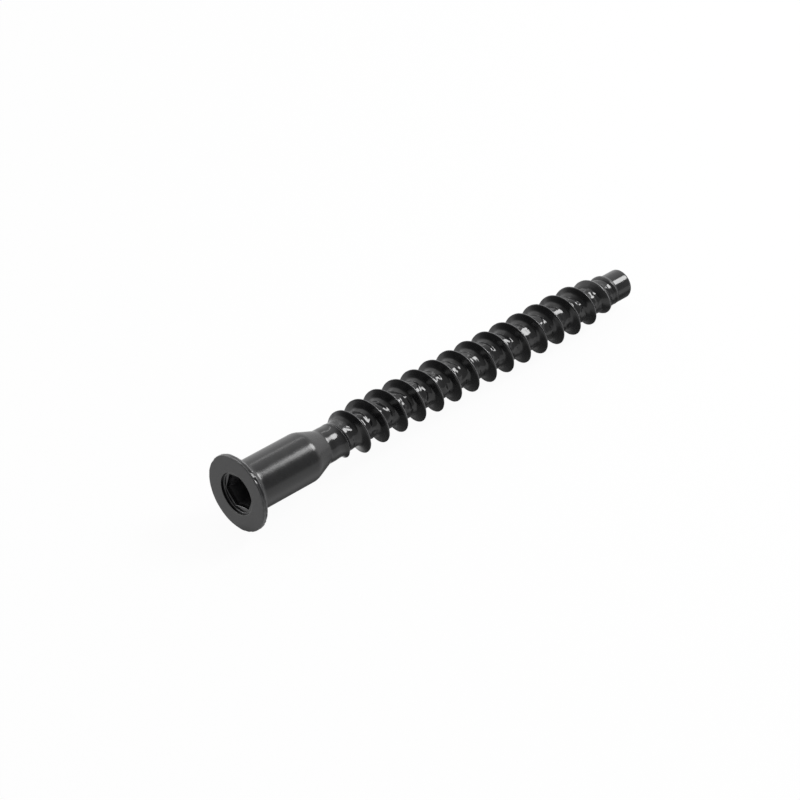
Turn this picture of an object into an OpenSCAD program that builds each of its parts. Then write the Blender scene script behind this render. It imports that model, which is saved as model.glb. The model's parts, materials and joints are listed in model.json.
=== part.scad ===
// One-piece furniture connector screw: flat flange head with a hex socket, smooth shank,
// tapered shoulder, neck, coarse right-hand wood thread and a short smooth pilot at the tip.
// It lies as it comes to rest, on the rim of its head and on one turn of the thread near the tip,
// with the head towards -X and the tip towards +X. Millimetres.

/* [Overall] */
// Length from the face of the head to the end of the tip
length = 70; // [50:1:90]
// How far the start of the thread is turned about the screw's axis, degrees from its underside
thread_turn = 280; // [0:5:355]
// How far a corner of the socket is turned about the screw's axis, degrees from its underside
socket_turn = 16; // [0:1:59]

/* [Head] */
// Diameter of the flange
head_d = 10.3; // [9:0.1:12]
// Thickness of the flange at its rim
rim_t = 0.65; // [0.5:0.05:1.5]
// Rounding of the two edges of the rim
rim_round = 0.12; // [0.05:0.01:0.2]
// Fillet where the flange meets the shank
head_fillet = 1.0; // [0.3:0.1:1.1]

/* [Socket] */
// Size of the hex key, across the flats
socket_af = 4; // [3:0.5:5]
// Depth of the flats, from the face of the head
socket_depth = 4.5; // [3:0.1:7]
// Depth of the cone in the floor of the socket
socket_floor = 0.7; // [0.3:0.1:1]
// Diameter of the round counterbore in the face of the head
mouth_d = 5.7; // [5:0.1:6]
// Depth of the counterbore
mouth_depth = 0.6; // [0.3:0.05:1.2]

/* [Shank and neck] */
// Diameter of the smooth shank
shank_d = 6.7; // [6.2:0.1:7.2]
// End of the shank, from the face of the head
shank_end = 11; // [9:0.25:14]
// Length of the shoulder that tapers from the shank to the neck
shoulder_l = 2.75; // [2:0.25:4]
// Rounding of the shoulder where it leaves the shank
shoulder_round = 2.5; // [0.5:0.1:3]
// Rounding of the shoulder where it runs into the neck
neck_round = 1.2; // [0.5:0.1:3]
// Diameter of the neck
neck_d = 4.7; // [4.4:0.1:5.2]
// Length of the smooth neck
neck_l = 0.85; // [0.6:0.05:3]

/* [Thread] */
// Outer diameter of the first full turn
thread_d = 6.75; // [6.2:0.05:7.2]
// Outer diameter where the thread begins to run out towards the tip
thread_tip_d = 6.38; // [5.8:0.05:7]
// Diameter of the core between the turns
core_d = 4.2; // [3.6:0.1:4.5]
// Rise of one turn
pitch = 3.25; // [2.5:0.05:4]
// Width of the flat on the crest
crest_w = 0.16; // [0.1:0.02:0.4]
// Reach of the flank that faces the head, along the axis
flank_head = 0.72; // [0.4:0.02:1.4]
// Reach of the flank that faces the tip, along the axis
flank_tip = 0.7; // [0.4:0.02:1.4]
// Turns over which the thread rises from the neck to its full height
rise_turns = 1.6; // [0.5:0.1:3]
// Turns over which the thread runs out into the pilot
runout_turns = 2.7; // [1:0.1:4]
// How far the crest stands nearer the tip where it leaves the neck
start_lead = 0.4; // [0:0.05:0.6]

/* [Tip] */
// Diameter of the pilot
pilot_d = 4.16; // [3.8:0.02:4.4]
// Length of the smooth pilot
pilot_l = 2.5; // [1.2:0.1:6]
// Rounding of the end of the tip
tip_round = 0.35; // [0.1:0.05:0.8]

/* [Hidden] */
$fn = 96;

screw_color = "#2c2c2e";

// Steps of the helix in one turn, and steps on each rounded corner of a profile
TURN_STEPS = 36;
CORNER_STEPS = 6;

// The threaded length is let into the neck and the pilot, and the floor of the socket into its flats,
// by this much along and across the axis; the cuts stand proud of the face by this much
lap = 0.1;
skin = 0.03;
proud = 0.5;

// Least width of the flat ring under the flange, and of half the floor of the groove
seat_least = 0.1;
groove_least = 0.05;

head_r = head_d / 2;
shank_r = shank_d / 2;
neck_r = neck_d / 2;
core_r = core_d / 2;
pilot_r = pilot_d / 2;
shoulder_end = shank_end + shoulder_l;
under_fillet = min(head_fillet, head_r - rim_round - seat_least - shank_r);

// The threaded length runs between the planes where the neck ends and the pilot begins
thread_from = shoulder_end + neck_l;
thread_to = length - pilot_l;
neck_level = neck_r - skin;
pilot_level = pilot_r - skin;

// The ridge starts as a point in the first plane and ends as a point in the last one
STEPS = TURN_STEPS + round((thread_to - thread_from) / pitch * TURN_STEPS);
turns = STEPS / TURN_STEPS;
advance = (thread_to - thread_from) / (STEPS - TURN_STEPS);

// Turns from the start point to where the ridge leaves the neck; turns after which the groove
// begins to deepen and over which it does; turns over which it comes up again to the pilot;
// and turns from the end of the run-out to the end point
rise_from = 0.5;
groove_from = 0.45;
groove_turns = 0.55;
groove_end_turns = 1;
runout_gap = 0.1;

// Points across the ridge, from the groove behind it to the groove before it: offset from the crest
// along the axis, and height as a share of the ridge where it is full and where it is almost gone.
// The flanks are hollow where the ridge is full and bulge where it is low, and where it leaves the
// neck they reach only a share of their full width
start_reach = 0.6;
flank_knee = 0.75;
knee_full = 0.2;
knee_low = 0.5;
crest_half = crest_w / 2;
reach_most = pitch / 2 - crest_half - groove_least;
reach_head = min(flank_head, reach_most);
reach_tip = min(flank_tip, reach_most);
RIDGE = [
    [-crest_half - reach_head, 0, 0],
    [-crest_half - reach_head * flank_knee, knee_full, knee_low],
    [-crest_half, 1, 1],
    [crest_half, 1, 1],
    [crest_half + reach_tip * flank_knee, knee_full, knee_low],
    [crest_half + reach_tip, 0, 0]
];
ACROSS = len(RIDGE);

function clamp01(t) = max(0, min(1, t));
function ease(t) = let (c = clamp01(t)) c * c * (3 - 2 * c);
function mix(a, b, t) = a + (b - a) * t;

// Radius of the crest and of the groove, by turns from the start point
function crest_full_r(n) = mix(thread_d, thread_tip_d, clamp01(n / (turns - runout_turns))) / 2;
function runout(n) =
    let (t = clamp01((turns - runout_gap - n) / runout_turns))
    (t + sin(90 * t)) / 2;
function rise(n) = ease((n - rise_from) / rise_turns);
function crest_r(n) = mix(pilot_level, mix(neck_level, crest_full_r(n), rise(n)), runout(n));
function groove_r(n) =
    let (start = mix(neck_level, core_r, ease((n - 1 - groove_from) / groove_turns)))
    mix(start, pilot_level, ease(1 - (turns - n) / groove_end_turns));

function polar(r, turn, z) = [r * cos(turn), r * sin(turn), z];
function step_angle(k) = thread_turn + 360 * k / TURN_STEPS;

// Height along the axis of the groove behind step k of the ridge; the groove before it is one turn on
function groove_z(k) = mix(thread_from, thread_to, clamp01((k - TURN_STEPS) / (STEPS - TURN_STEPS)));
function groove_point(k) = polar(groove_r(k / TURN_STEPS), step_angle(k), groove_z(k));
function ridge_point(k, j) =
    let (
        n = k / TURN_STEPS,
        offset = RIDGE[j][0] * mix(start_reach, 1, rise(n)) / pitch,
        lead = start_lead / pitch * (1 - rise(n)) * (1 - 2 * abs(offset)),
        share = 0.5 + offset + lead,
        floor_r = mix(groove_r(n), groove_r(n + 1), share),
        top_r = max(floor_r, crest_r(n)),
        fullness = clamp01((top_r - floor_r) / (thread_d / 2 - core_r)) ^ 2,
        height = mix(RIDGE[j][2], RIDGE[j][1], fullness)
    )
    polar(mix(floor_r, top_r, height), step_angle(k), mix(groove_z(k), groove_z(k + TURN_STEPS), share));

// The groove's points come first; one turn after the start point, and at the end point,
// the groove comes back to a point that is already there
GROOVES = STEPS + TURN_STEPS;
function groove_index(k) = k == TURN_STEPS ? 0 : k == GROOVES ? STEPS : k;
function strip_index(k, j) =
    j == 0 ? groove_index(k)
    : j == ACROSS + 1 ? groove_index(k + TURN_STEPS)
    : GROOVES + (k - 1) * ACROSS + j - 1;

// The screw leans until its thread meets the floor: the least lean of any point of the crest
function lean_at(k) =
    let (n = k / TURN_STEPS, z = groove_z(k) + (groove_z(k + TURN_STEPS) - groove_z(k)) / 2)
    atan2(head_r - crest_r(n) * cos(step_angle(k)), z - rim_t + rim_round);
rest_lean = min([for (k = [TURN_STEPS : STEPS - 1]) lean_at(k)]);
axis_height = (head_r - rim_round) * cos(rest_lean) + (rim_t - rim_round) * sin(rest_lean) + rim_round;
face_x = -(length * cos(rest_lean) + (pilot_r - tip_round - head_r + rim_round) * sin(rest_lean)) / 2;

// Points that round the corner b of a path from a to c, or b itself if it has no rounding
function unit(v) = v / norm(v);
function corner(a, b, c, r) =
    r == 0 ? [b]
    : let (
        in = unit(a - b),
        out = unit(c - b),
        half = acos(in * out) / 2,
        centre = b + unit(in + out) * r / sin(half),
        first = unit(b + in * r / tan(half) - centre),
        last = unit(b + out * r / tan(half) - centre),
        sweep = acos(first * last)
    )
    [for (i = [0 : CORNER_STEPS])
        let (t = i / CORNER_STEPS)
        centre + r * (first * sin((1 - t) * sweep) + last * sin(t * sweep)) / sin(sweep)];

// Turns a path of [radius, height, rounding] rows about the axis, closed along it
module turned(path) {
    last = len(path) - 1;
    function at(i) = [path[i][0], path[i][1]];
    outline = [for (i = [0 : last])
        each i == 0 || i == last ? [at(i)] : corner(at(i - 1), at(i), at(i + 1), path[i][2])];
    rotate_extrude() polygon(outline);
}

module head_and_shank() {
    turned([
        [0, 0, 0],
        [head_r, 0, rim_round],
        [head_r, rim_t, rim_round],
        [shank_r, rim_t, under_fillet],
        [shank_r, shank_end, shoulder_round],
        [neck_r, shoulder_end, neck_round],
        [neck_r, thread_from + lap, 0],
        [0, thread_from + lap, 0]
    ]);
}

module pilot() {
    turned([
        [0, thread_to - lap, 0],
        [pilot_r, thread_to - lap, 0],
        [pilot_r, length, tip_round],
        [0, length, 0]
    ]);
}

// Hex hole with a round counterbore and a conical floor
module socket() {
    flat_r = socket_af / 2;
    translate([0, 0, -proud]) {
        rotate(socket_turn) cylinder(r = flat_r / cos(30), h = proud + socket_depth, $fn = 6);
        cylinder(d = mouth_d, h = proud + mouth_depth);
    }
    translate([0, 0, socket_depth - lap]) cylinder(r1 = flat_r - skin, r2 = 0, h = socket_floor + lap);
}

// Core and helical ridge as one closed strip that winds from the neck to the pilot
module thread() {
    points = concat(
        [for (k = [0 : GROOVES - 1]) groove_point(k)],
        [for (k = [1 : STEPS - 1], j = [0 : ACROSS - 1]) ridge_point(k, j)]
    );
    neck_cap = [for (k = [0 : TURN_STEPS - 1]) groove_index(k)];
    pilot_cap = [for (k = [TURN_STEPS - 1 : -1 : 0]) groove_index(STEPS + k)];
    start = [for (j = [0 : ACROSS]) [0, strip_index(1, j + 1), strip_index(1, j)]];
    end = [for (j = [0 : ACROSS]) [strip_index(STEPS - 1, j), strip_index(STEPS - 1, j + 1), STEPS]];
    strip = [for (k = [1 : STEPS - 2], j = [0 : ACROSS])
        each [
            [strip_index(k, j), strip_index(k, j + 1), strip_index(k + 1, j)],
            [strip_index(k + 1, j), strip_index(k, j + 1), strip_index(k + 1, j + 1)]
        ]];
    polyhedron(points, concat([neck_cap, pilot_cap], start, end, strip));
}

module connector_screw() {
    color(screw_color)
        translate([face_x, 0, axis_height])
            rotate([0, 90 + rest_lean, 0]) {
                difference() {
                    head_and_shank();
                    socket();
                }
                thread();
                pilot();
            }
}

connector_screw();
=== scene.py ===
"""One-piece furniture connector screw in black plated steel, lying on a pale studio floor.

The screw is one closed mesh, built round its axis from the sizes of its solid, with finer edges.
The socket, head, shank, shoulder, neck and pilot are rings, and the thread is a strip that winds
from the neck to the pilot.
"""
import json
import math

import bpy
from mathutils import Euler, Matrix, Quaternion, Vector, noise


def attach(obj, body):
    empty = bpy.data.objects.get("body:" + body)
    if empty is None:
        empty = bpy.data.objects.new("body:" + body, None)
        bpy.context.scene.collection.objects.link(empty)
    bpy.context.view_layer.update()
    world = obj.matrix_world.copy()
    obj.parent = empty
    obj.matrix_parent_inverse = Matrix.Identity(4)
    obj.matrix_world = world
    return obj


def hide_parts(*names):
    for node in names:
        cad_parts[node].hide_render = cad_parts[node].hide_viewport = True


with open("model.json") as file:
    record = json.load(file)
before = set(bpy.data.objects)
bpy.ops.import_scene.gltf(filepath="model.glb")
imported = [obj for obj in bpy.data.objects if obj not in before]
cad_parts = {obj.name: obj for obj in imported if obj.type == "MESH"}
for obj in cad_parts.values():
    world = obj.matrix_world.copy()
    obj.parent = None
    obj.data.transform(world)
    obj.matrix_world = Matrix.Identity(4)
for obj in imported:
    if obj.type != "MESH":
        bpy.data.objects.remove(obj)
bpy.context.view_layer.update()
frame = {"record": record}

MM = 0.001

# Sizes are in millimetres and turns in degrees; depths run along the axis from the face of the head
LENGTH = 70.0

# Head
HEAD_R = 5.15
RIM_T = 0.65
RIM_FRONT_ROUND = 0.12
RIM_REAR_ROUND = 0.14
SEAT_R = 4.88
UNDER_RISE = 0.95
HEAD_FILLET = 1.05

# Hex socket with its lead-in
FLAT_R = 2.0
SOCKET_DEPTH = 4.5
SOCKET_FLOOR = 0.7
FLOOR_R = 1.72
SOCKET_TURN = 16.0
LEAD = 0.2
LEAD_DEPTH = 0.6
LEAD_MOST_R = 2.5
EDGE_ROUND = 0.1

# Round counterbore in which the socket is sunk; a hold is a narrow band that keeps a flat surface flat
BORE_R = 2.8
BORE_DEPTH = 0.45
BORE_CORNER = 0.12
MOUTH_R = 2.85
LIP = 0.05
LIP_MIDDLE = 0.29
HOLD = 0.02

# Shank, shoulder and neck
SHANK_R = 3.35
SHANK_END = 11.0
SHOULDER_ROUND = 2.5
SHOULDER_END = 13.75
NECK_ROUND = 1.2
NECK_R = 2.35

# Thread
THREAD_FROM = 14.6
THREAD_TO = 67.5
THREAD_R = 3.375
THREAD_TIP_R = 3.19
CORE_R = 2.1
PITCH = 3.25
CREST_HALF = 0.08
CREST_DROP = 0.02
CREST_HOLD = 0.02
REACH = 0.92
THREAD_TURN = 280.0
TURNS = 622 / 36
RISE_FROM = 0.5
RISE_TURNS = 1.6
RUNOUT_TURNS = 2.7
RUNOUT_GAP = 0.1
GROOVE_FROM = 0.45
GROOVE_TURNS = 0.55
GROOVE_END_TURNS = 1.0
START_LEAD = 0.4
START_REACH = 0.5
START_FULL = 0.6
START_FULL_TO = 4.0

# Pilot
PILOT_R = 2.08
TIP_ROUND = 0.35

# Where the shank mount lies on the axis
SHANK_MOUNT_AT = 6.1

# Steps round the axis and on a rounded corner of the profile
AROUND = 144
CORNER_STEPS = 8
STEP_TURN = 360 / AROUND
STEPS = round(TURNS * AROUND)

# Turn of the body's rings: the one nearest to the socket's that fits the steps of the thread
BODY_TURN = THREAD_TURN - 360 + round((SOCKET_TURN - THREAD_TURN + 360) / STEP_TURN) * STEP_TURN

# Finish of each surface: roughness, wear, turned marks
# Deep in the socket the finish is matt, which makes its tint paler: painted light in a hollow that lies in
# shade
SOCKET_DEEP_PAINTED_LIGHT = (0.45, 0.0, 0.0)
SOCKET_ROUGH = 0.18
FACE_FINISH = (0.36, 0.0, 0.0)
FRONT_EDGE = (0.28, 0.35, 0.2)
RIM_SIDE = (0.2, 0.0, 0.3)
REAR_EDGE = (0.24, 0.5, 0.2)
UNDERSIDE = (0.28, 0.0, 0.3)
ROOT = (0.24, 0.0, 0.3)
SHANK = (0.22, 0.0, 1.0)
SHOULDER_TOP = (0.22, 0.0, 0.6)
SHOULDER = (0.26, 0.0, 0.6)
NECK_TOP = (0.2, 0.0, 0.5)
NECK = (0.14, 0.0, 0.5)
NECK_END = (0.15, 0.0, 0.4)
GROOVE_ROUGH = 0.13
CREST_ROUGH = 0.2
THREAD_MARKS = 0.3
PILOT = (0.14, 0.0, 0.3)
TIP = (0.2, 0.0, 0.0)

# Wear of the counterbore's rounded corner and lip
CORNER_WEAR = 0.7
LIP_WEAR = 0.7
LIP_SIDE_WEAR = 0.4

# Uneven wear of the socket and the rim: the turn where it is most, how narrow it is, least and added share
KEY_WORN_AT = 346.0
KEY_WORN_NARROW = 4
KEY_WORN_LEAST = 0.3
KEY_WORN_ADDED = 2.2
RIM_WORN_AT = 173.0
RIM_WORN_NARROW = 12
RIM_WORN_LEAST = 1.0
RIM_WORN_ADDED = 2.5

# Nicks of the rim, the patches that they come in, and a little dulling all round
NICK_DEPTH = 0.28
NICK_SIZE = 0.45
NICK_FROM = 0.08
NICK_STRETCH = 1.2
NICK_START = 7.0
PATCH_SIZE = 1.6
PATCH_START = 31.0
DULL_DEPTH = 0.014
DULL_SIZE = 0.7

# Rolling marks of the thread: turns over which they come and go, depth and size
ROLLED_FROM = 1.2
ROLLED_UNTIL = TURNS - 0.6
ROLLED_FADE = 0.6
HAMMER_DEPTH = 0.1
HAMMER_SIZE = 0.75
DIMPLE_DEPTH = 0.06
DIMPLE_SIZE = 0.42
RIPPLE_DEPTH = 0.006
RIPPLE_SIZE = 0.5
RIPPLE_STRETCH = 2.5
CREST_NICK_DEPTH = 0.02
CREST_NICK_SIZE = 0.8

# How fast the marks of groove and crest fade on the flank, and the rise at which a crest is complete
GROOVE_FADE = 8
CREST_FADE = 4
CREST_FROM = 0.97
CREST_DROP_RISE = 0.4
CREST_WEAR_RISE = 0.15

# Edges sharper than this angle are shaded as edges
SHARP_ANGLE = 33.0


def clamp01(t):
    return max(0.0, min(1.0, t))


def ease(t):
    c = clamp01(t)
    return c * c * (3 - 2 * c)


def mix(a, b, t):
    return a + (b - a) * t


def grain(x, y, z, size):
    """Smooth noise from -1 to 1 at a point in millimetres, with bumps of about the given size."""
    return noise.noise(Vector((x, y, z)) / size)


# Place of the screw: its axis and the centre of its face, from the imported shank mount
shank_mount = next(m for m in frame["record"]["mounts"] if m["name"] == "shank")
AXIS = Vector(shank_mount["axis"]).normalized()
SIDE = Vector((0, 1, 0))
DOWN = SIDE.cross(AXIS)
FACE = Vector(shank_mount["pos_m"]) - AXIS * SHANK_MOUNT_AT * MM


class Shell:
    """Vertices in the screw's own frame, with the finish of each, and the faces between them."""

    def __init__(self):
        self.points = []
        self.finish = []
        self.faces = []

    def add(self, r, turn, z, finish):
        t = math.radians(turn)
        self.points.append((r * math.cos(t), r * math.sin(t), z))
        self.finish.append(finish)
        return len(self.points) - 1

    def ring(self, start, radius_at, z, finish, wear_at=None):
        """A ring of vertices; its radius, and the share of its wear, are functions of the turn."""
        rough, wear, marks = finish
        row = []
        for i in range(AROUND):
            turn = start + 360 * i / AROUND
            share = wear_at(turn) if wear_at else 1.0
            row.append(self.add(radius_at(turn), turn, z, (rough, wear * share, marks)))
        return row

    def skin(self, a, b):
        """Quads between two rings."""
        for i in range(AROUND):
            j = (i + 1) % AROUND
            self.faces.append((a[i], a[j], b[j], b[i]))

    def fan(self, pole, ring):
        """Triangles between a pole and a ring."""
        for i in range(AROUND):
            self.faces.append((pole, ring[(i + 1) % AROUND], ring[i]))


def corner(a, b, c, radius):
    """Points of an arc that rounds the corner b of a path from a to c."""
    a, b, c = Vector(a), Vector(b), Vector(c)
    to_a = (a - b).normalized()
    to_c = (c - b).normalized()
    half = to_a.angle(to_c) / 2
    centre = b + (to_a + to_c).normalized() * radius / math.sin(half)
    first = b + to_a * radius / math.tan(half) - centre
    last = b + to_c * radius / math.tan(half) - centre
    sweep = first.angle(last)
    points = []
    for i in range(CORNER_STEPS + 1):
        t = i / CORNER_STEPS
        arm = (first * math.sin((1 - t) * sweep) + last * math.sin(t * sweep)) / math.sin(sweep)
        points.append(centre + arm)
    return points


def stretch(a, b, steps):
    """Points between a and b, without either end."""
    a, b = Vector(a), Vector(b)
    return [a.lerp(b, i / steps) for i in range(1, steps)]


def quarter(steps):
    """Cosine and sine along a quarter turn, and how near each step is to its middle."""
    for i in range(steps + 1):
        t = math.pi / 2 * i / steps
        yield math.cos(t), math.sin(t), math.sin(2 * t)


def lobe(turn, middle, narrow):
    """One at the middle turn, falling to nothing a quarter turn away."""
    return max(0.0, math.cos(math.radians(turn - middle))) ** narrow


def key_side(turn):
    return lobe(turn, KEY_WORN_AT, KEY_WORN_NARROW)


def key_wear(turn):
    return KEY_WORN_LEAST + KEY_WORN_ADDED * key_side(turn)


def rim_wear(turn):
    return RIM_WORN_LEAST + RIM_WORN_ADDED * lobe(turn, RIM_WORN_AT, RIM_WORN_NARROW)


def hex_r(turn, lead=0.0):
    """Radius of the hex, widened by its lead-in; the lead-in's corners are cut round."""
    from_flat = (turn - SOCKET_TURN) % 60 - 30
    return min((FLAT_R + lead) / math.cos(math.radians(from_flat)), LEAD_MOST_R)


def edge_r(turn):
    """Radius of the lead-in's edge: it is cut off-centre and dies out on the worn side."""
    return hex_r(turn, LEAD * (1 - key_side(turn)))


def socket_wall():
    """Rings of the socket from its floor to the face: radius, depth and wear."""
    lead_foot = BORE_DEPTH + LEAD_DEPTH
    wall_steps = 4
    for i in range(wall_steps + 1):
        yield hex_r, mix(SOCKET_DEPTH, lead_foot, i / wall_steps), 0.0
    yield edge_r, BORE_DEPTH + EDGE_ROUND + HOLD, 0.0
    for cos, sin, middle in quarter(4):
        out = EDGE_ROUND * (1 - cos)
        yield lambda t: edge_r(t) + out, BORE_DEPTH + EDGE_ROUND * (1 - sin), middle
    floor_from = EDGE_ROUND + HOLD
    floor_to = BORE_R - BORE_CORNER - HOLD
    for share in (0.0, 0.5, 1.0):
        yield lambda t: mix(edge_r(t) + floor_from, floor_to, share), BORE_DEPTH, 0.0
    for cos, sin, middle in quarter(3):
        short = BORE_CORNER * (1 - sin)
        yield lambda t: BORE_R - short, BORE_DEPTH - BORE_CORNER * (1 - cos), CORNER_WEAR * middle
    yield lambda t: BORE_R, BORE_DEPTH - BORE_CORNER - HOLD, 0.0
    yield lambda t: MOUTH_R, LIP + HOLD, 0.0
    yield lambda t: MOUTH_R, LIP, LIP_SIDE_WEAR
    yield lambda t: MOUTH_R + LIP * LIP_MIDDLE, LIP * LIP_MIDDLE, LIP_WEAR
    yield lambda t: MOUTH_R + LIP, 0.0, LIP_SIDE_WEAR
    yield lambda t: MOUTH_R + LIP + HOLD, 0.0, 0.0


def build_socket(shell):
    """Socket and counterbore, from the bottom up; returns the ring round the mouth."""
    pole = shell.add(0, 0, SOCKET_DEPTH + SOCKET_FLOOR, SOCKET_DEEP_PAINTED_LIGHT)
    last = shell.ring(SOCKET_TURN, lambda t: FLOOR_R, SOCKET_DEPTH, SOCKET_DEEP_PAINTED_LIGHT)
    shell.fan(pole, last)
    # Below this depth the socket takes the matt finish whose paler tint is painted light
    deep_from = BORE_DEPTH + LEAD_DEPTH - HOLD
    for radius_at, depth, wear in socket_wall():
        finish = SOCKET_DEEP_PAINTED_LIGHT if depth > deep_from else (SOCKET_ROUGH, wear, 0.0)
        ring = shell.ring(SOCKET_TURN, radius_at, depth, finish, key_wear)
        shell.skin(last, ring)
        last = ring
    return last


def build_face(shell, last):
    """Flat face of the head; its rings turn from the corners of the socket to the rings of the body."""
    steps = 7
    for i in range(1, steps + 1):
        t = i / steps
        start = mix(SOCKET_TURN, BODY_TURN, t)
        radius = mix(MOUTH_R + LIP + HOLD, HEAD_R - RIM_FRONT_ROUND, t)
        ring = shell.ring(start, lambda a: radius, 0.0, FACE_FINISH)
        shell.skin(last, ring)
        last = ring
    return last


def rim_dent(turn, z):
    """How far the rim is knocked in, in millimetres: small nicks, and a little dulling all round."""
    t = math.radians(turn)
    x, y = HEAD_R * math.cos(t), HEAD_R * math.sin(t)
    nicks = max(0.0, grain(x, y, z * NICK_STRETCH + NICK_START, NICK_SIZE) - NICK_FROM)
    patches = 0.5 + 0.5 * grain(x, y, z + PATCH_START, PATCH_SIZE)
    return NICK_DEPTH * nicks * patches + DULL_DEPTH * (1 + grain(x, y, z, DULL_SIZE))


def build_body(shell, last):
    """Rim, underside, shank, shoulder and neck; returns the ring in which the thread starts."""
    front = (HEAD_R, 0.0)
    rear = (HEAD_R, RIM_T)
    seat = (SEAT_R, RIM_T)
    root = (SHANK_R, RIM_T + UNDER_RISE)
    shank = (SHANK_R, SHANK_END)
    neck = (NECK_R, SHOULDER_END)
    end = (NECK_R, THREAD_FROM)
    front_arc = corner((0, 0), front, rear, RIM_FRONT_ROUND)
    rear_arc = corner(front, rear, seat, RIM_REAR_ROUND)
    root_arc = corner(seat, root, shank, HEAD_FILLET)
    shank_arc = corner(root, shank, neck, SHOULDER_ROUND)
    neck_arc = corner(shank, neck, end, NECK_ROUND)
    rim = (
        (front_arc[1:], FRONT_EDGE),
        (stretch(front_arc[-1], rear_arc[0], 4), RIM_SIDE),
        (rear_arc, REAR_EDGE),
    )
    rest = (
        ([seat], UNDERSIDE),
        (stretch(seat, root_arc[0], 4), UNDERSIDE),
        (root_arc, ROOT),
        (stretch(root_arc[-1], shank_arc[0], 24), SHANK),
        (shank_arc, SHOULDER_TOP),
        (stretch(shank_arc[-1], neck_arc[0], 5), SHOULDER),
        (neck_arc, NECK_TOP),
        (stretch(neck_arc[-1], end, 4), NECK),
    )
    for points, finish in rim:
        for r, z in points:
            ring = shell.ring(BODY_TURN, lambda t: r - rim_dent(t, z), z, finish, rim_wear)
            shell.skin(last, ring)
            last = ring
    for points, finish in rest:
        for r, z in points:
            ring = shell.ring(BODY_TURN, lambda t: r, z, finish)
            shell.skin(last, ring)
            last = ring
    ring = shell.ring(THREAD_TURN, lambda t: NECK_R, THREAD_FROM, NECK_END)
    shift = round((THREAD_TURN - BODY_TURN) / STEP_TURN)
    shell.skin(last, [ring[(i - shift) % AROUND] for i in range(AROUND)])
    return ring


def runout(n):
    """How much of the crest is left after n turns, from full to none at the pilot."""
    t = clamp01((TURNS - RUNOUT_GAP - n) / RUNOUT_TURNS)
    return (t + math.sin(t * math.pi / 2)) / 2


def rise(n):
    """How far the crest has risen out of the neck after n turns."""
    return ease((n - RISE_FROM) / RISE_TURNS)


def crest_r(n):
    full = mix(THREAD_R, THREAD_TIP_R, clamp01(n / (TURNS - RUNOUT_TURNS)))
    return mix(PILOT_R, mix(NECK_R, full, rise(n)), runout(n))


def groove_r(n):
    start = mix(NECK_R, CORE_R, ease((n - 1 - GROOVE_FROM) / GROOVE_TURNS))
    return mix(start, PILOT_R, ease(1 - (TURNS - n) / GROOVE_END_TURNS))


def groove_z(k):
    return mix(THREAD_FROM, THREAD_TO, clamp01((k - AROUND) / (STEPS - AROUND)))


def flank(t):
    """Height of a flank: nearly straight from the crest, then a hollow foot that runs into the core."""
    knee = 0.54
    knee_height = 0.08
    if t < knee:
        return mix(knee_height, 1.0, (1 - t / knee) ** 1.25)
    return knee_height * ((1 - t) / (1 - knee)) ** 2


def ridge_profile():
    """Points across the ridge: offset from the crest, height where it is full and where it is low."""
    flank_steps = 10
    floor_steps = 4
    low_bulge = 1.9
    crest_flat = CREST_HALF * 0.4
    reach = CREST_HALF + REACH
    rows = []
    for i in range(flank_steps + 1):
        t = i / flank_steps
        for way in (-1, 1):
            rows.append((way * (CREST_HALF + REACH * t), flank(t), 1 - t ** low_bulge))
    for i in range(1, floor_steps):
        for way in (-1, 1):
            rows.append((way * mix(reach, PITCH / 2, i / floor_steps), 0.0, 0.0))
    rows.append((-CREST_HALF - CREST_HOLD, flank(CREST_HOLD / REACH), 1.0))
    rows.append((-crest_flat, 1.0, 1.0))
    rows.append((crest_flat, 1.0, 1.0))
    return sorted(rows)


RIDGE = ridge_profile()


def hammered(x, y, z):
    """Rolling marks in the groove, in millimetres, drawn out round the axis."""
    coarse = grain(0.7 * x, 0.7 * y, z, HAMMER_SIZE)
    fine = grain(0.6 * x + 9, 0.6 * y, z, DIMPLE_SIZE)
    return HAMMER_DEPTH * coarse + DIMPLE_DEPTH * fine


def thread_point(shell, n, turn, z, floor_r, top_r, height, at_edge=False, worn=0.0):
    """A vertex of the thread after n turns, at a height from 0 in the groove to 1 on the crest."""
    t = math.radians(turn)
    r = mix(floor_r, top_r, height)
    x, y = r * math.cos(t), r * math.sin(t)
    rolled = clamp01((n - ROLLED_FROM) / ROLLED_FADE) * clamp01((ROLLED_UNTIL - n) / ROLLED_FADE)
    r += rolled * (1 - height) ** GROOVE_FADE * hammered(x, y, z)
    r += rolled * RIPPLE_DEPTH * grain(x, y, z * RIPPLE_STRETCH, RIPPLE_SIZE)
    if at_edge:
        r -= CREST_DROP * clamp01((top_r - floor_r) / CREST_DROP_RISE)
    nick = clamp01(0.5 + grain(x, y, z, CREST_NICK_SIZE))
    r -= rolled * height ** CREST_FADE * CREST_NICK_DEPTH * nick
    wear = worn * clamp01((top_r - floor_r) / CREST_WEAR_RISE)
    return shell.add(r, turn, z, (mix(GROOVE_ROUGH, CREST_ROUGH, height), wear, THREAD_MARKS))


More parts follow.
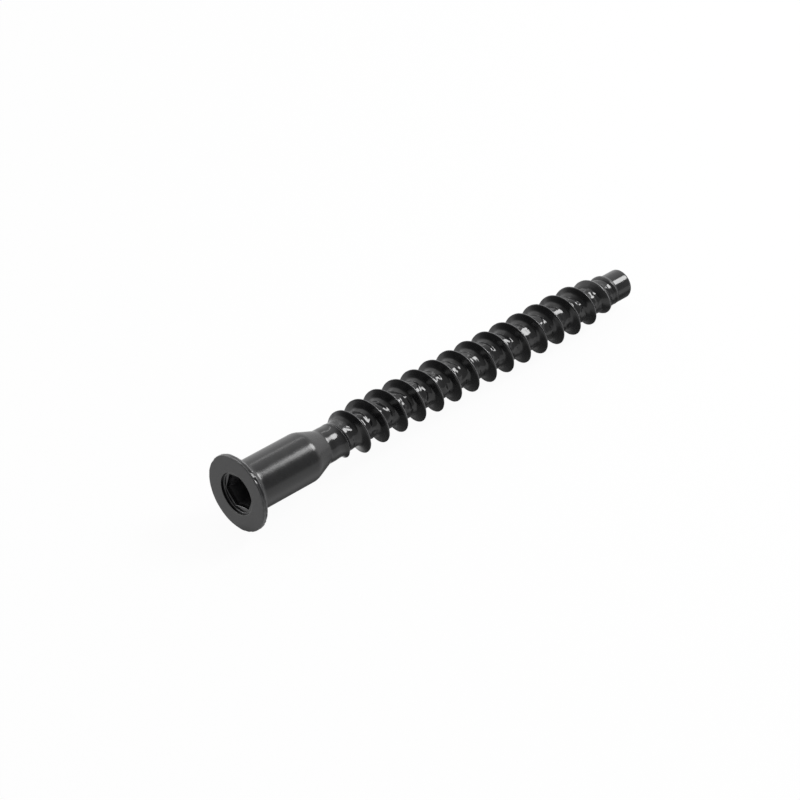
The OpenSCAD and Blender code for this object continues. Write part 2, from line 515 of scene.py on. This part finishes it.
def build_thread(shell, neck_ring):
    """Core and ridge as one strip that starts in the neck's last ring; returns the pilot's first ring."""
    groove = dict(enumerate(neck_ring))
    groove[AROUND] = neck_ring[0]
    for k in range(AROUND + 1, STEPS + AROUND):
        r = groove_r(k / AROUND)
        turn = THREAD_TURN + 360 * k / AROUND
        groove[k] = thread_point(shell, k / AROUND, turn, groove_z(k), r, r, 0.0)
    groove[STEPS + AROUND] = groove[STEPS]
    strip = {}
    for k in range(1, STEPS):
        n = k / AROUND
        turn = THREAD_TURN + 360 * k / AROUND
        z0, z1 = groove_z(k), groove_z(k + AROUND)
        row = [groove[k]]
        for offset, full, low in RIDGE:
            part = offset / PITCH
            if full > 0:
                part *= mix(START_REACH, 1, rise(n))
            lead = START_LEAD / PITCH * (1 - rise(n)) * (1 - 2 * abs(part))
            share = 0.5 + part + lead
            floor_r = mix(groove_r(n), groove_r(n + 1), share)
            top_r = max(floor_r, crest_r(n))
            fullness = clamp01((top_r - floor_r) / (THREAD_R - CORE_R)) ** 2
            fullness = max(fullness, START_FULL * clamp01(START_FULL_TO - n))
            height = mix(low, full, fullness)
            at_edge = math.isclose(abs(offset), CREST_HALF)
            worn = clamp01(0.5 + offset / CREST_HALF) if full > CREST_FROM else 0.0
            z = mix(z0, z1, share)
            row.append(thread_point(shell, n, turn, z, floor_r, top_r, height, at_edge, worn))
        row.append(groove[k + AROUND])
        strip[k] = row
    across = len(RIDGE) + 1
    for j in range(across):
        shell.faces.append((neck_ring[0], strip[1][j], strip[1][j + 1]))
        shell.faces.append((groove[STEPS], strip[STEPS - 1][j + 1], strip[STEPS - 1][j]))
    for k in range(1, STEPS - 1):
        a, b = strip[k], strip[k + 1]
        for j in range(across):
            shell.faces.append((a[j], b[j], b[j + 1], a[j + 1]))
    return [groove[STEPS + i] for i in range(AROUND)]


def build_pilot(shell, last):
    """Smooth pilot with a rounded, flat-ended tip."""
    start = THREAD_TURN + 360 * STEPS / AROUND
    foot = (PILOT_R, THREAD_TO)
    middle = (0, LENGTH)
    arc = corner(foot, (PILOT_R, LENGTH), middle, TIP_ROUND)
    for r, z in stretch(foot, arc[0], 6) + arc + stretch(arc[-1], middle, 4):
        ring = shell.ring(start, lambda t: r, z, PILOT)
        shell.skin(last, ring)
        last = ring
    pole = shell.add(0, 0, LENGTH, TIP)
    shell.fan(pole, last[::-1])


def attribute_node(tree, name):
    node = tree.nodes.new("ShaderNodeAttribute")
    node.attribute_name = name
    return node.outputs["Vector"]


def split_node(tree, vector):
    node = tree.nodes.new("ShaderNodeSeparateXYZ")
    tree.links.new(vector, node.inputs[0])
    return node.outputs


def math_node(tree, kind, *values):
    """One step of arithmetic on numbers and sockets."""
    node = tree.nodes.new("ShaderNodeMath")
    node.operation = kind
    for socket, value in zip(node.inputs, values):
        if isinstance(value, (int, float)):
            socket.default_value = value
        else:
            tree.links.new(value, socket)
    return node.outputs[0]


def noise_node(tree, vector, scale, detail):
    node = tree.nodes.new("ShaderNodeTexNoise")
    node.inputs["Scale"].default_value = scale
    node.inputs["Detail"].default_value = detail
    tree.links.new(vector, node.inputs["Vector"])
    return node.outputs["Fac"]


def smooth_span(tree, value, span, levels):
    """A value carried smoothly from one span to another."""
    node = tree.nodes.new("ShaderNodeMapRange")
    node.interpolation_type = "SMOOTHSTEP"
    node.inputs["From Min"].default_value = span[0]
    node.inputs["From Max"].default_value = span[1]
    node.inputs["To Min"].default_value = levels[0]
    node.inputs["To Max"].default_value = levels[1]
    tree.links.new(value, node.inputs["Value"])
    return node.outputs[0]


# Plating: its darkest and palest tint, bare steel, and the share of steel where an edge is most worn
DARK_TINT = (0.006, 0.006, 0.0065, 1)
PALE_TINT = (0.034, 0.034, 0.036, 1)
BARE_STEEL = (0.42, 0.42, 0.43, 1)
WORN_MOST = 0.5


def black_plating():
    """Black plated steel: near-black, glossy, with turned marks, handling haze and worn edges."""
    mat = bpy.data.materials.new("black_plating")
    mat.use_nodes = True
    tree = mat.node_tree
    shader = tree.nodes["Principled BSDF"]
    shader.inputs["IOR"].default_value = 1.5
    place = attribute_node(tree, "screw_place")
    roughness, wear, marks = split_node(tree, attribute_node(tree, "screw_finish"))
    drawn_out = tree.nodes.new("ShaderNodeVectorMath")
    drawn_out.operation = "MULTIPLY"
    drawn_out.inputs[1].default_value = (0.5, 0.5, 6.0)
    tree.links.new(place, drawn_out.inputs[0])
    turned = noise_node(tree, drawn_out.outputs[0], scale=1.6, detail=4.0)
    cloudy = noise_node(tree, place, scale=0.9, detail=5.0)
    fine = noise_node(tree, place, scale=9.0, detail=3.0)
    patchy = noise_node(tree, place, scale=1.7, detail=4.0)

    # Tint: cloudy, and paler where the surface is matt; deep in the socket this paler tint is painted
    # light in a hollow that lies in shade
    matt_and_painted_light = smooth_span(tree, roughness, (0.3, 0.45), (0.0, 0.7))
    tint = tree.nodes.new("ShaderNodeValToRGB")
    tint.color_ramp.elements[0].position = 0.1
    tint.color_ramp.elements[0].color = DARK_TINT
    tint.color_ramp.elements[1].position = 0.85
    tint.color_ramp.elements[1].color = PALE_TINT
    tree.links.new(math_node(tree, "MULTIPLY_ADD", cloudy, 0.3, matt_and_painted_light), tint.inputs[0])

    # Wear: bare steel in patches along the edges
    bare = math_node(tree, "MULTIPLY_ADD", patchy, 1.6, -0.3)
    bare.node.use_clamp = True
    worn = math_node(tree, "MULTIPLY", math_node(tree, "MULTIPLY", wear, bare), WORN_MOST)
    steel = tree.nodes.new("ShaderNodeMix")
    steel.data_type = "RGBA"
    steel.inputs["B"].default_value = BARE_STEEL
    tree.links.new(worn, steel.inputs["Factor"])
    tree.links.new(tint.outputs[0], steel.inputs["A"])
    tree.links.new(steel.outputs["Result"], shader.inputs["Base Color"])
    tree.links.new(worn, shader.inputs["Metallic"])

    # Gloss: hazy in clouds, duller on bare steel
    haze = math_node(tree, "MULTIPLY_ADD", cloudy, 0.5, 0.75)
    hazy = math_node(tree, "MULTIPLY", roughness, haze)
    tree.links.new(math_node(tree, "MULTIPLY_ADD", worn, 0.2, hazy), shader.inputs["Roughness"])

    # Relief: turned marks round the axis and a fine grain
    relief = math_node(tree, "MULTIPLY", turned, marks)
    relief = math_node(tree, "ADD", relief, math_node(tree, "MULTIPLY", fine, 0.15))
    bump = tree.nodes.new("ShaderNodeBump")
    bump.inputs["Strength"].default_value = 0.12
    bump.inputs["Distance"].default_value = 0.02 * MM
    tree.links.new(relief, bump.inputs["Height"])
    tree.links.new(bump.outputs[0], shader.inputs["Normal"])
    return mat


def make_screw():
    shell = Shell()
    mouth = build_socket(shell)
    face = build_face(shell, mouth)
    neck_ring = build_body(shell, face)
    pilot_ring = build_thread(shell, neck_ring)
    build_pilot(shell, pilot_ring)

    mesh = bpy.data.meshes.new("connector_screw_body")
    world = [FACE + (DOWN * p[0] + SIDE * p[1] + AXIS * p[2]) * MM for p in shell.points]
    mesh.from_pydata(world, [], shell.faces)
    place = mesh.attributes.new("screw_place", "FLOAT_VECTOR", "POINT")
    place.data.foreach_set("vector", [c for p in shell.points for c in p])
    finish = mesh.attributes.new("screw_finish", "FLOAT_VECTOR", "POINT")
    finish.data.foreach_set("vector", [c for f in shell.finish for c in f])
    mesh.polygons.foreach_set("use_smooth", [True] * len(mesh.polygons))
    mesh.validate()
    mesh.set_sharp_from_angle(angle=math.radians(SHARP_ANGLE))
    mesh.update()
    screw = bpy.data.objects.new("connector_screw_body", mesh)
    bpy.context.scene.collection.objects.link(screw)
    mesh.materials.append(black_plating())
    return screw


def painted_floor_shade(tree):
    """Painted shade of the floor in reflections: pale, greyer far in front as painted dimming, and dark by
    the screw as a painted contact shadow.
    """
    geometry = tree.nodes.new("ShaderNodeNewGeometry")
    x, y, _ = split_node(tree, geometry.outputs["Position"])
    # Painted dimming: the glow seen in reflections is greyer far in front of the screw
    pale = smooth_span(tree, y, (-130 * MM, -25 * MM), (0.42, 0.92))
    wider = smooth_span(tree, x, (-16 * MM, -10 * MM), (0.0, 2 * MM))
    front = smooth_span(tree, math_node(tree, "ADD", y, wider), (-6.5 * MM, -2 * MM), (0.0, 1.0))
    past = math_node(tree, "SUBTRACT", y, math_node(tree, "MULTIPLY", wider, 2.0))
    rear = smooth_span(tree, past, (-1.5 * MM, 1 * MM), (0.82, 0.0))
    under = smooth_span(tree, x, (-37 * MM, -34 * MM), (0.0, 1.0))
    # Painted contact shadow: a dark patch beside and under the screw, in reflections only
    painted_contact_shadow = math_node(tree, "MULTIPLY", math_node(tree, "MULTIPLY", front, rear), under)
    return math_node(tree, "MULTIPLY", pale, math_node(tree, "SUBTRACT", 1.0, painted_contact_shadow))


def make_floor():
    """Pale floor: near white to the camera, with the screw's shadow; reflections see it glow with painted
    shade, greyer far in front and darkest by the screw.
    """
    radius = 4.0
    sides = 64
    sink = -1e-5
    turns = [math.tau * i / sides for i in range(sides)]
    ring = [(radius * math.cos(t), radius * math.sin(t), sink) for t in turns]
    mesh = bpy.data.meshes.new("floor")
    mesh.from_pydata(ring, [], [tuple(range(sides))])
    floor = bpy.data.objects.new("floor", mesh)
    bpy.context.scene.collection.objects.link(floor)
    mat = bpy.data.materials.new("floor_white")
    mat.use_nodes = True
    tree = mat.node_tree
    tree.nodes.clear()
    out = tree.nodes.new("ShaderNodeOutputMaterial")
    paint = tree.nodes.new("ShaderNodeBsdfDiffuse")
    paint.inputs["Color"].default_value = (0.75, 0.75, 0.75, 1)
    glow = tree.nodes.new("ShaderNodeEmission")
    glow.inputs["Color"].default_value = (1, 1, 1, 1)
    ray = tree.nodes.new("ShaderNodeLightPath").outputs
    # Reflections see only the glow, whose strength is the painted shade: painted dimming far in front and
    # a painted contact shadow by the screw
    level = math_node(tree, "MAXIMUM", painted_floor_shade(tree), ray["Is Camera Ray"])
    tree.links.new(level, glow.inputs["Strength"])
    seen = math_node(tree, "MULTIPLY", ray["Is Camera Ray"], 0.95)
    mirrored = math_node(tree, "MAXIMUM", ray["Is Glossy Ray"], ray["Is Transmission Ray"])
    blend = tree.nodes.new("ShaderNodeMixShader")
    tree.links.new(math_node(tree, "MAXIMUM", seen, mirrored), blend.inputs[0])
    tree.links.new(paint.outputs[0], blend.inputs[1])
    tree.links.new(glow.outputs[0], blend.inputs[2])
    tree.links.new(blend.outputs[0], out.inputs["Surface"])
    mesh.materials.append(mat)


def make_world():
    """Soft studio: bright past the tip and behind, dim on the camera's side, dark past the head."""
    world = bpy.data.worlds.new("studio")
    world.use_nodes = True
    tree = world.node_tree
    back = tree.nodes["Background"]
    coords = tree.nodes.new("ShaderNodeTexCoord")
    x, y, _ = split_node(tree, coords.outputs["Generated"])
    behind = smooth_span(tree, y, (-0.4, 0.3), (0.32, 1.1))
    past_tip = smooth_span(tree, x, (0.62, 0.92), (0.0, 1.35))
    towards_tip = smooth_span(tree, x, (-0.95, 0.0), (0.0, 1.0))
    level = math_node(tree, "MULTIPLY", math_node(tree, "MAXIMUM", behind, past_tip), towards_tip)
    left_edge = smooth_span(tree, x, (-0.78, -0.35), (0.0, 1.0))
    right_edge = smooth_span(tree, x, (0.1, 0.4), (1.0, 0.0))
    back_wall = smooth_span(tree, y, (0.1, 0.5), (0.0, 1.3))
    panel = math_node(tree, "MULTIPLY", math_node(tree, "MULTIPLY", left_edge, right_edge), back_wall)
    level = math_node(tree, "ADD", math_node(tree, "MAXIMUM", level, panel), 0.1)
    tree.links.new(level, back.inputs["Color"])
    back.inputs["Strength"].default_value = 1.0
    bpy.context.scene.world = world


def area_light(name, place, target, size, roll, power):
    """A soft elliptic light that faces the target, turned about its own axis by a roll in degrees."""
    light = bpy.data.lights.new(name, "AREA")
    light.shape = "ELLIPSE"
    light.size = size[0] * MM
    light.size_y = size[1] * MM
    light.energy = power
    lamp = bpy.data.objects.new(name, light)
    bpy.context.scene.collection.objects.link(lamp)
    lamp.location = Vector(place) * MM
    aim = (Vector(target) - Vector(place)).normalized()
    turn = aim.to_track_quat("-Z", "Y") @ Quaternion((0, 0, 1), math.radians(roll))
    lamp.rotation_euler = turn.to_euler()


def make_camera():
    """Camera at the photograph's viewing angle, from a fit to the screw's outline."""
    lens = bpy.data.cameras.new("camera")
    lens.sensor_width = 36.0
    lens.sensor_fit = "HORIZONTAL"
    lens.lens = 112.296
    lens.clip_start = 0.01
    camera = bpy.data.objects.new("camera", lens)
    bpy.context.scene.collection.objects.link(camera)
    camera.location = Vector((-183.909, -183.981, 196.231)) * MM
    camera.rotation_euler = Euler([math.radians(d) for d in (53.126, 0.298, -44.066)])
    bpy.context.scene.camera = camera


make_camera()
screw = make_screw()
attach(screw, "root")
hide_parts("connector_screw")
make_floor()
make_world()
area_light("key", place=(227.6, -96, 234), target=(0, 0, 0), size=(150, 155), roll=-15, power=0.76)
area_light("back strip", place=(170, 190, 230), target=(-24, 0, 5), size=(150, 24), roll=0, power=0.03)
bpy.context.scene.view_settings.view_transform = "Standard"
